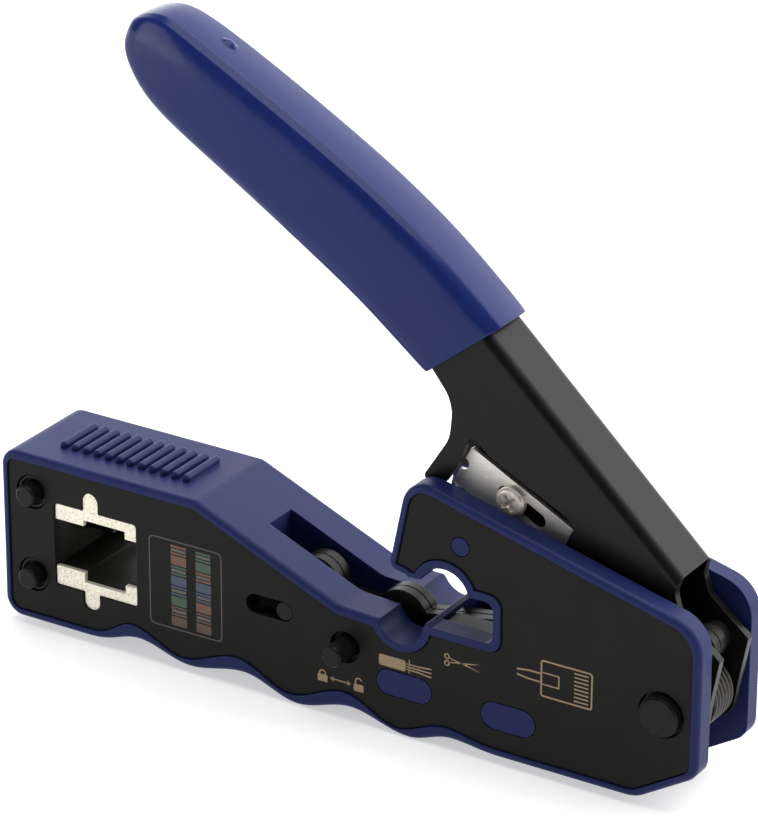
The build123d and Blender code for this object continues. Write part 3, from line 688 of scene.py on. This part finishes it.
def draw_plug_sign(bm):
    """Outline of a modular plug with its eight contacts, latch and cable."""
    ink_line(bm, rounded_box(-21.6, -12.4, -2.6, 3.7, 0.4), 0.3, closed=True)
    for contact in range(8):
        z = -1.9 + contact * 0.7
        ink_line(bm, [(-15.6, z), (-13.0, z)], 0.26)
    ink_line(bm, [(-21.4, 1.6), (-18.4, 1.6), (-18.4, -0.5), (-21.4, -0.5)], 0.24)
    ink_line(bm, [(-21.8, 1.3), (-24.0, 1.3), (-26.1, 1.0)], 0.3)
    ink_line(bm, [(-21.8, -0.2), (-24.0, -0.2), (-26.1, 0.1)], 0.3)


CHART_COLUMNS = [
    ((-92.9, -89.8), ["pale_orange", "orange", "pale_green", "blue", "pale_blue", "green", "pale_brown",
                      "brown"]),
    ((-87.9, -84.9), ["pale_green", "green", "pale_orange", "blue", "pale_blue", "orange", "pale_brown",
                      "brown"]),
]
CHART_LOW, CHART_HIGH = -9.3, 5.8
CHART_ROWS = 8
BAR_DROP, BAR_GAP = 0.16, 0.20  # from a row's top to its bar, and between one bar and the next


def make_wiring_chart():
    """Frame with two columns of eight colour bars, for the two usual wire orders."""
    printed("chart_frame", "grey", lambda bm: ink_line(
        bm, rounded_box(-97.2, -82.8, -9.9, 6.4, 0.9), 0.22, closed=True))
    step = (CHART_HIGH - CHART_LOW) / CHART_ROWS
    bars = {}
    for (left, right), colours in CHART_COLUMNS:
        for order, colour in enumerate(colours):
            top = CHART_HIGH - order * step - BAR_DROP
            solid = colour.replace("pale_", "")
            bars.setdefault(solid, []).append((left, right, top - step + BAR_GAP, top, "pale" in colour))
    for ink, boxes in bars.items():
        def draw(bm, boxes=boxes):
            for left, right, low, high, pale in boxes:
                if not pale:
                    ink_polygon(bm, rounded_box(left, right, low, high, 0.15))
                    continue
                third = (high - low) / 3
                ink_polygon(bm, rounded_box(left, right, high - third, high, 0.1))
                ink_polygon(bm, rounded_box(left, right, low, low + third, 0.1))
        printed("chart_" + ink, ink, draw)
    printed("chart_white", "white", lambda bm: [
        ink_polygon(bm, rounded_box(left + 0.1, right - 0.1, low + 0.42, high - 0.42, 0.05))
        for boxes in bars.values() for left, right, low, high, pale in boxes if pale])


def make_printing():
    make_wiring_chart()
    printed("print_lock", "bronze", draw_lock_signs)
    printed("print_strip", "bronze", draw_strip_sign)
    printed("print_cut", "bronze", draw_cut_sign)
    printed("print_plug", "bronze", draw_plug_sign)


def finish_cad_parts():
    for node, width in SOFTENED.items():
        softened(node, width)
    for node, obj in frame["nodes"].items():
        if node not in SOFTENED:
            dress(obj, MATERIALS[SLOT_OF[node]])


# ---- Stage ----
CAMERA_AZIMUTH = math.radians(31.81)
CAMERA_ELEVATION = math.radians(24.18)
CAMERA_ROLL = math.radians(0.21)
CAMERA_PLACE = (282.1, -549.1, 324.3)       # millimetres from the pivot
CAMERA_LENS = 191.3


def make_camera():
    data = bpy.data.cameras.new("camera")
    data.lens = CAMERA_LENS
    data.sensor_width = 36
    data.sensor_fit = "AUTO"
    data.clip_end = 50
    camera = bpy.data.objects.new("camera", data)
    bpy.context.scene.collection.objects.link(camera)
    turn = (Matrix.Rotation(CAMERA_AZIMUTH, 4, "Z")
            @ Matrix.Rotation(math.pi / 2 - CAMERA_ELEVATION, 4, "X")
            @ Matrix.Rotation(CAMERA_ROLL, 4, "Z"))
    camera.matrix_world = Matrix.Translation(at(*CAMERA_PLACE)) @ turn
    bpy.context.scene.camera = camera


FLOOR_HALF = 8          # metres
FLOOR_DROP = 0.00002    # metres, so that the floor and the resting faces don't share a plane


def make_floor():
    bm = bmesh.new()
    bmesh.ops.create_grid(bm, x_segments=8, y_segments=8, size=FLOOR_HALF)
    mesh = bpy.data.meshes.new("floor")
    bm.to_mesh(mesh)
    bm.free()
    floor = bpy.data.objects.new("floor", mesh)
    bpy.context.scene.collection.objects.link(floor)
    floor.location.z = -FLOOR_DROP
    dress(floor, studio_floor())


def area_light(name, place, target, size, power):
    data = bpy.data.lights.new(name, "AREA")
    data.size = size
    data.energy = power
    light = bpy.data.objects.new(name, data)
    bpy.context.scene.collection.objects.link(light)
    light.location = place
    light.rotation_euler = (target - place).to_track_quat("-Z", "Y").to_euler()
    light.visible_camera = False


def sun(name, strength, spread, elevation, azimuth):
    """A soft, distant light. Azimuth 0 is behind the tool (+y), 90 at its head (-x)."""
    data = bpy.data.lights.new(name, "SUN")
    data.energy = strength
    data.angle = math.radians(spread)
    light = bpy.data.objects.new(name, data)
    bpy.context.scene.collection.objects.link(light)
    tilt, turn = math.radians(90 - elevation), math.radians(azimuth)
    light.rotation_euler = Vector((-math.sin(tilt) * math.sin(turn), math.sin(tilt) * math.cos(turn),
                                   math.cos(tilt))).to_track_quat("Z", "Y").to_euler()


BACK_GLOW = 2.4         # brightness of the wall of light behind the tool, at its left
RIGHT_GAIN = 1.7        # how much brighter it is at its right
ROOM_GLOW = 0.05        # brightness of the room in front of it
GLOW_START, GLOW_END = -0.1, 0.7        # y of the direction where the wall fades in, and is full
GAIN_START, GAIN_END = -0.45, 0.35      # x of the direction over which the wall grows brighter
OVERHEAD = (3.0, 52, 81, -75)           # strength, spread, elevation and azimuth, in degrees
SIDE_SIZE, SIDE_POWER = 0.35, 1.4       # metres and watts
SIDE_PLACE, SIDE_TARGET = (-520, -420, 160), (-90, 0, 20)


def make_lights():
    """A wall of soft light behind the tool, a dim room in front, and a soft light overhead."""
    world = bpy.data.worlds.new("studio")
    bpy.context.scene.world = world
    world.use_nodes = True
    tree = world.node_tree
    direction = tree.nodes.new("ShaderNodeTexCoord").outputs["Generated"]
    split = tree.nodes.new("ShaderNodeSeparateXYZ")
    tree.links.new(direction, split.inputs[0])
    glow = spread_range(tree, split.outputs["Y"], GLOW_START, GLOW_END, ROOM_GLOW, BACK_GLOW)
    glow.interpolation_type = "SMOOTHSTEP"
    gain = spread_range(tree, split.outputs["X"], GAIN_START, GAIN_END, 1.0, RIGHT_GAIN)
    product = tree.nodes.new("ShaderNodeMath")
    product.operation = "MULTIPLY"
    tree.links.new(glow.outputs["Result"], product.inputs[0])
    tree.links.new(gain.outputs["Result"], product.inputs[1])
    tree.links.new(product.outputs["Value"], tree.nodes["Background"].inputs["Strength"])
    tree.nodes["Background"].inputs["Color"].default_value = (1, 1, 1, 1)
    sun("overhead_light", *OVERHEAD)
    area_light("head_side_light", at(*SIDE_PLACE), at(*SIDE_TARGET), SIDE_SIZE, SIDE_POWER)
    bpy.context.scene.view_settings.view_transform = "Standard"


make_camera()
make_floor()
make_lights()
finish_cad_parts()
make_grip()
make_blade_screw()
make_drip()
# painted shade: a dark ring in the lock bolt's well
painted_shade_ring("lock_well_painted_shade", LOCK_PLACE, LOCK_SHADE_RADII, LOCK_SHADE_FRONT, LOCK_SHADE_BACK)
# painted shade: a dark lining in the guide pin's slot
painted_shade_slot_lining()
make_printing()
